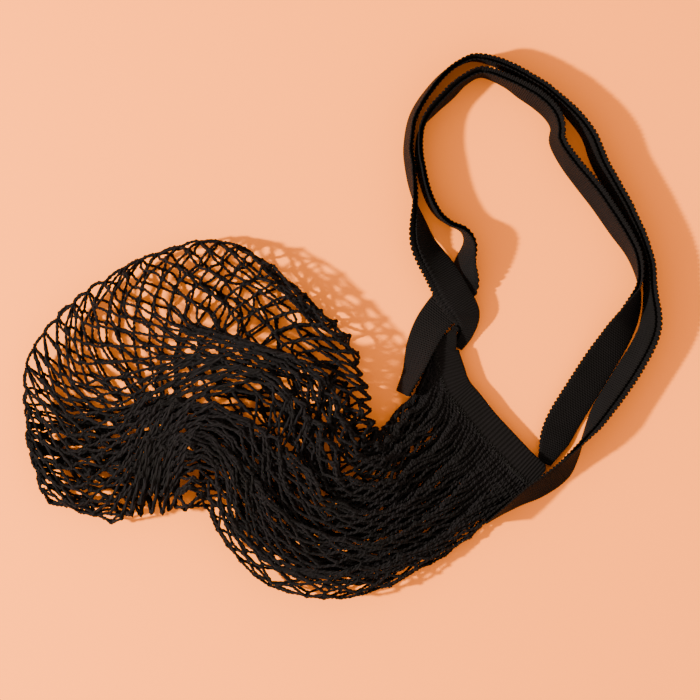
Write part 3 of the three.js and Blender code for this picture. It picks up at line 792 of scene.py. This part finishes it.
def settled(knots):
    """Knots pulled by their links until no link is much too long or too short, near where they lay."""
    place = knots.copy()
    most = (NECK_SHIFT + (MOST_SHIFT - NECK_SHIFT) * calm(np.arange(ROWS + 1)))[:, None, None]
    step = np.linalg.norm(np.gradient(knots, axis=0), axis=2, keepdims=True)
    most = most * np.clip(step / LINK_LENGTH, SQUEEZED_SHARE, 1)
    stretch = calm(np.arange(ROWS)) * LINK_PUSH
    for _ in range(SETTLE_ROUNDS):
        push = np.zeros_like(place)
        for row in range(ROWS):
            here, same, other = links_of(place, row)
            back = -1 if row % 2 == 0 else 1
            for target, shift in ((same, 0), (other, back)):
                gap = target - here
                length = np.linalg.norm(gap, axis=1, keepdims=True)
                excess = length - LINK_LENGTH
                firmness = np.where(excess > 0, LINK_PULL, stretch[row])
                pull = gap / np.maximum(length, 1e-6) * excess * firmness
                push[row] += pull
                push[row + 1] -= np.roll(pull, shift, axis=0)
        push[[0, ROWS]] = 0
        place += push
        away = place - knots
        reach = np.linalg.norm(away, axis=2, keepdims=True)
        place = knots + away * np.minimum(1, most / np.maximum(reach, 1e-6)) * SHIFT_KEPT
        place[:, :, 2] = np.maximum(place[:, :, 2], STRING_RADIUS * LOWEST_KNOT)
    return place


def string_lines(knots):
    """Centre lines of all strings. Each swings between two columns of knots and runs beside its
    neighbour for a short way at each knot."""
    side = unit(np.roll(knots, -1, axis=1) - np.roll(knots, 1, axis=1))
    ahead = np.concatenate([knots[1:], knots[-1:] * 2 - knots[-2:-1]])
    behind = np.concatenate([knots[:1] * 2 - knots[1:2], knots[:-1]])
    flow = ahead - behind
    flow = unit(flow - side * (flow * side).sum(axis=2, keepdims=True))
    normal = np.cross(side, flow)
    rows = np.arange(ROWS + 1)
    spacing = np.linalg.norm(ahead - behind, axis=2) / 2
    fan = calm(rows)[:, None]
    most_bow = NECK_BOW + (MOST_BOW - NECK_BOW + CROWD_BOW * crowding(knots)) * fan
    lines = []
    for column in range(COLUMNS):
        for hand in (1, -1):
            reach = np.where(rows % 2 == 0, column, column if hand > 0 else column - 1) % COLUMNS
            lean = np.where(rows % 2 == 0, hand, -hand)[:, None]
            middle = knots[rows, reach] + lean * side[rows, reach] * STRING_RADIUS * JOINT_ASIDE
            middle = middle + normal[rows, reach] * STRING_RADIUS * JOINT_ABOVE * hand
            half = np.minimum(JOINT_HALF, JOINT_MOST * spacing[rows, reach])[:, None]
            before = middle - flow[rows, reach] * half
            after = middle + flow[rows, reach] * half
            before[0] = middle[0]
            gap = before[1:] - after[:-1]
            slack = (LINK_LENGTH - 2 * JOINT_HALF) ** 2 - (gap**2).sum(axis=1)
            most = most_bow[rows[:-1], reach[:-1]] * chance.uniform(LEAST_BOW_SHARE, 1, ROWS)
            bow = np.minimum(0.5 * np.sqrt(np.clip(slack, 0, None)), most)
            halfway = (after[:-1] + before[1:]) / 2
            turn = np.array([TURN_MOST * noise.noise(Vector(place / TURN_WAVE)) for place in halfway])
            turn += chance.normal(0, TURN_CHANCE, ROWS)
            at = rows[:-1], reach[:-1]
            away = side[at] * np.cos(turn)[:, None] + normal[at] * np.sin(turn)[:, None]
            between = halfway + away * bow[:, None]
            controls = np.zeros((3 * (ROWS + 1) - 1, 3))
            controls[0::3] = before
            controls[1::3] = after
            controls[2::3] = between
            count = SAMPLES * (len(controls) - 1) + 1
            lines.append(read_between(controls, np.linspace(0, 1, count)))
    return lines, normal


def string_radii(count):
    """Thickness of a string along its samples: chained bumps, thicker where two strings are joined."""
    k = np.arange(count)
    bump = 1 + CHAIN_BUMP * np.where(k % 2 == 0, 1, -1)
    joint = np.where((k % (3 * SAMPLES)) <= SAMPLES, JOINT_THICKNESS, FREE_THICKNESS)
    return bump * joint * chance.uniform(THINNEST, THICKEST, count)


def round_profile():
    """Section of the strings, drawn clockwise so that their faces point outwards."""
    curve = bpy.data.curves.new("string_section", "CURVE")
    spline = curve.splines.new("POLY")
    spline.points.add(STRING_SIDES - 1)
    for k, point in enumerate(spline.points):
        turn = -2 * np.pi * k / STRING_SIDES
        reach = STRING_RADIUS * (1 + STRING_FLATNESS * np.cos(2 * turn))
        point.co = (reach * np.cos(turn), reach * np.sin(turn), 0, 1)
    spline.use_cyclic_u = True
    section = bpy.data.objects.new("string_section", curve)
    bpy.context.scene.collection.objects.link(section)
    return section


def tube_mesh(name, strands, section):
    """Strands drawn as tubes, each given as its points and its thickness at them."""
    curve = bpy.data.curves.new(name, "CURVE")
    curve.dimensions = "3D"
    curve.bevel_mode = "OBJECT"
    curve.bevel_object = section
    curve.use_fill_caps = True
    for points, thickness in strands:
        spline = curve.splines.new("POLY")
        spline.points.add(len(points) - 1)
        spline.points.foreach_set("co", np.column_stack([points, np.ones(len(points))]).ravel())
        spline.points.foreach_set("radius", thickness)
        spline.points.foreach_set("tilt", np.arange(len(points)) * STRING_TWIST)
    drawn = bpy.data.objects.new(name, curve)
    bpy.context.scene.collection.objects.link(drawn)
    graph = bpy.context.evaluated_depsgraph_get()
    mesh = bpy.data.meshes.new_from_object(drawn.evaluated_get(graph))
    bpy.data.objects.remove(drawn)
    return mesh


def over_floor(points):
    """The same points, none so low that the string would dip into the floor."""
    return np.column_stack([points[:, :2], np.maximum(points[:, 2], STRING_RADIUS * LOWEST_STRING)])


def nub(place, direction):
    """A short end that stands out of a knot."""
    points = place + np.outer(NUB_PLACES, direction * NUB_LENGTH)
    return over_floor(points), np.array(NUB_THICKNESS)


def make_net(section):
    """The net in four pieces, each a quarter of the way round, and the string that closes its bottom."""
    knots = settled(uneven(net_knots()))
    lines, normal = string_lines(knots)
    lines = [over_floor(line) for line in lines]
    names = ("net_over_inner", "net_over_outer", "net_under_outer", "net_under_inner")
    quarter = COLUMNS // len(names)
    for part, name in enumerate(names):
        # Two strings start at each column of knots
        own = lines[2 * part * quarter:2 * (part + 1) * quarter]
        strands = [(to_frame(line), string_radii(len(line))) for line in own]
        for row in range(NUB_FIRST_ROW, ROWS + 1):
            for column in range(part * quarter, (part + 1) * quarter):
                if chance.random() < (NUB_SHARE_AT_END if row == ROWS else NUB_SHARE):
                    away = normal[row, column] + NUB_SPREAD * chance.normal(size=3)
                    strands.append(nub(to_frame(knots[row, column]), unit(away)))
        mesh = tube_mesh(name, strands, section)
        finished(name, mesh, string_cotton, "string")
    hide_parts("net_body")

    # The string that closes the bottom, once along the upper sheet's knots and back along the lower's
    rim = np.concatenate([knots[ROWS], knots[ROWS][:1]])
    middle = rim.mean(axis=0)
    between = (rim[1:] + rim[:-1]) / 2
    outward = unit((between - middle) * (1, 1, 0))
    gap = np.linalg.norm(rim[1:] - rim[:-1], axis=1, keepdims=True)
    most = chance.uniform(*CLOSING_BOW, (len(between), 1))
    bow = outward * np.minimum(gap * CLOSING_BOW_SHARE, most)
    near, far = 1 - CLOSING_BOW_AT, CLOSING_BOW_AT
    controls = np.empty((3 * len(rim) - 2, 3))
    controls[0::3] = rim
    controls[1::3] = near * rim[:-1] + far * rim[1:] + bow
    controls[2::3] = far * rim[:-1] + near * rim[1:] + bow
    count = SAMPLES * (len(controls) - 1) + 1
    closing = over_floor(read_between(controls, np.linspace(0, 1, count)))
    mesh = tube_mesh("net_bottom_string", [(to_frame(closing), string_radii(len(closing)))], section)
    finished("net_bottom_string", mesh, string_cotton, "string")


def seam_stitches(name, top, section):
    """Overcast stitches that sew the net to a band, as one thread to and fro over its ridge."""
    turns = len(STITCH_ACROSS)
    k = np.arange(turns * round(MOUTH_LENGTH / STITCH_PITCH) + 1)
    middle, to_net, half = rim_place(np.linspace(SEAM_START, 1, len(k)))
    over = SEAM_STITCH_FROM + (SEAM_STITCH_TO - SEAM_STITCH_FROM) * STITCH_ACROSS[k % turns]
    over = over + chance.uniform(-STITCH_WANDER, STITCH_WANDER, len(k))
    height = top + THREAD_RADIUS * STITCH_HEIGHT[k % turns]
    plan = middle + to_net * (half * over)[:, None]
    points = to_frame(np.column_stack([plan, height]))
    fine = read_between(points, np.linspace(0, 1, STITCH_SAMPLES * (len(points) - 1) + 1))
    mesh = tube_mesh(name, [(fine, np.full(len(fine), THREAD_RADIUS / STRING_RADIUS))], section)
    return finished(name, mesh, thread_cotton, "string")


section = round_profile()
make_net(section)

knit_band("rim_back_band", 0, "rim_back")
knit_band("rim_front_band", RIM_THICKNESS + MOUTH_GAP, "rim_front")
seam_stitches("rim_back_stitches", RIM_THICKNESS, section)
seam_stitches("rim_front_stitches", 2 * RIM_THICKNESS + MOUTH_GAP, section)
bpy.data.objects.remove(section)
knit_tape("strap_front_tape", OUTER_HANDLE, 0, OUTER_HANDLE_END, "strap_front")
knit_tape("side_tape_right_knit", OUTER_HANDLE, OUTER_HANDLE_END, len(OUTER_HANDLE) - 1, "side_tape_right")
knit_tape("strap_back_tape", INNER_HANDLE, INNER_HANDLE_START, len(INNER_HANDLE) - 1, "strap_back")
knit_tape("side_tape_left_knit", INNER_HANDLE, 0, INNER_HANDLE_START, "side_tape_left")


# Floor, light and camera

FLOOR_SIZE = 3
FLOOR_DARK = (0.99, 0.26, 0.02, 1)
FLOOR_LIGHT = (1, 0.285, 0.03, 1)
KEY_HEIGHT = np.radians(38)
KEY_DISTANCE = 3.2
KEY_FROM = np.radians(186)
KEY_SIZE = 0.2
KEY_POWER = 390
KEY_COLOUR = (1, 0.89, 0.74)
WORLD_COLOUR = (1, 0.77, 0.58, 1)
WORLD_STRENGTH = 1.7
VIEW_MIDDLE = (0.0073, -0.0194)
VIEW_WIDTH = 0.63
CAMERA_LENS = 120
CAMERA_SENSOR = 36


def make_floor():
    bm = bmesh.new()
    bmesh.ops.create_grid(bm, x_segments=1, y_segments=1, size=FLOOR_SIZE)
    mesh = bpy.data.meshes.new("floor")
    bm.to_mesh(mesh)
    bm.free()
    material = bpy.data.materials.new("pale_paper")
    material.use_nodes = True
    tree = material.node_tree
    shader = tree.nodes["Principled BSDF"]
    place = node_in(tree, "ShaderNodeTexCoord")
    grain = node_in(tree, "ShaderNodeTexNoise")
    grain.inputs["Scale"].default_value = 900
    grain.inputs["Detail"].default_value = 4
    join(tree, place, "Object", grain, "Vector")
    tone = node_in(tree, "ShaderNodeMix", data_type="RGBA")
    tone.inputs[6].default_value = FLOOR_DARK
    tone.inputs[7].default_value = FLOOR_LIGHT
    join(tree, grain, "Fac", tone, 0)
    tree.links.new(tone.outputs[2], shader.inputs["Base Color"])
    relief = node_in(tree, "ShaderNodeBump")
    relief.inputs["Strength"].default_value = 0.2
    relief.inputs["Distance"].default_value = 0.0002
    join(tree, grain, "Fac", relief, "Height")
    join(tree, relief, "Normal", shader, "Normal")
    shader.inputs["Roughness"].default_value = 0.85
    shader.inputs["Specular IOR Level"].default_value = 0.2
    mesh.materials.append(material)
    floor = bpy.data.objects.new("floor", mesh)
    bpy.context.scene.collection.objects.link(floor)


def make_light(name, place, target, size, power, colour):
    lamp = bpy.data.lights.new(name, "AREA")
    lamp.shape = "DISK"
    lamp.size = size
    lamp.energy = power
    lamp.color = colour
    light = bpy.data.objects.new(name, lamp)
    light.location = place
    light.rotation_euler = (Vector(target) - Vector(place)).to_track_quat("-Z", "Y").to_euler()
    bpy.context.scene.collection.objects.link(light)


make_floor()
key_place = KEY_DISTANCE * np.array([
    np.cos(KEY_HEIGHT) * np.cos(KEY_FROM),
    np.cos(KEY_HEIGHT) * np.sin(KEY_FROM),
    np.sin(KEY_HEIGHT),
])
make_light("key_light", key_place, (0, 0, 0), KEY_SIZE, KEY_POWER, KEY_COLOUR)
world = bpy.data.worlds.new("studio")
world.use_nodes = True
world.node_tree.nodes["Background"].inputs["Color"].default_value = WORLD_COLOUR
world.node_tree.nodes["Background"].inputs["Strength"].default_value = WORLD_STRENGTH
bpy.context.scene.world = world

camera_data = bpy.data.cameras.new("camera")
camera_data.lens = CAMERA_LENS
camera_data.sensor_width = CAMERA_SENSOR
camera = bpy.data.objects.new("camera", camera_data)
camera.location = (*VIEW_MIDDLE, VIEW_WIDTH * CAMERA_LENS / CAMERA_SENSOR)
bpy.context.scene.collection.objects.link(camera)
bpy.context.scene.camera = camera
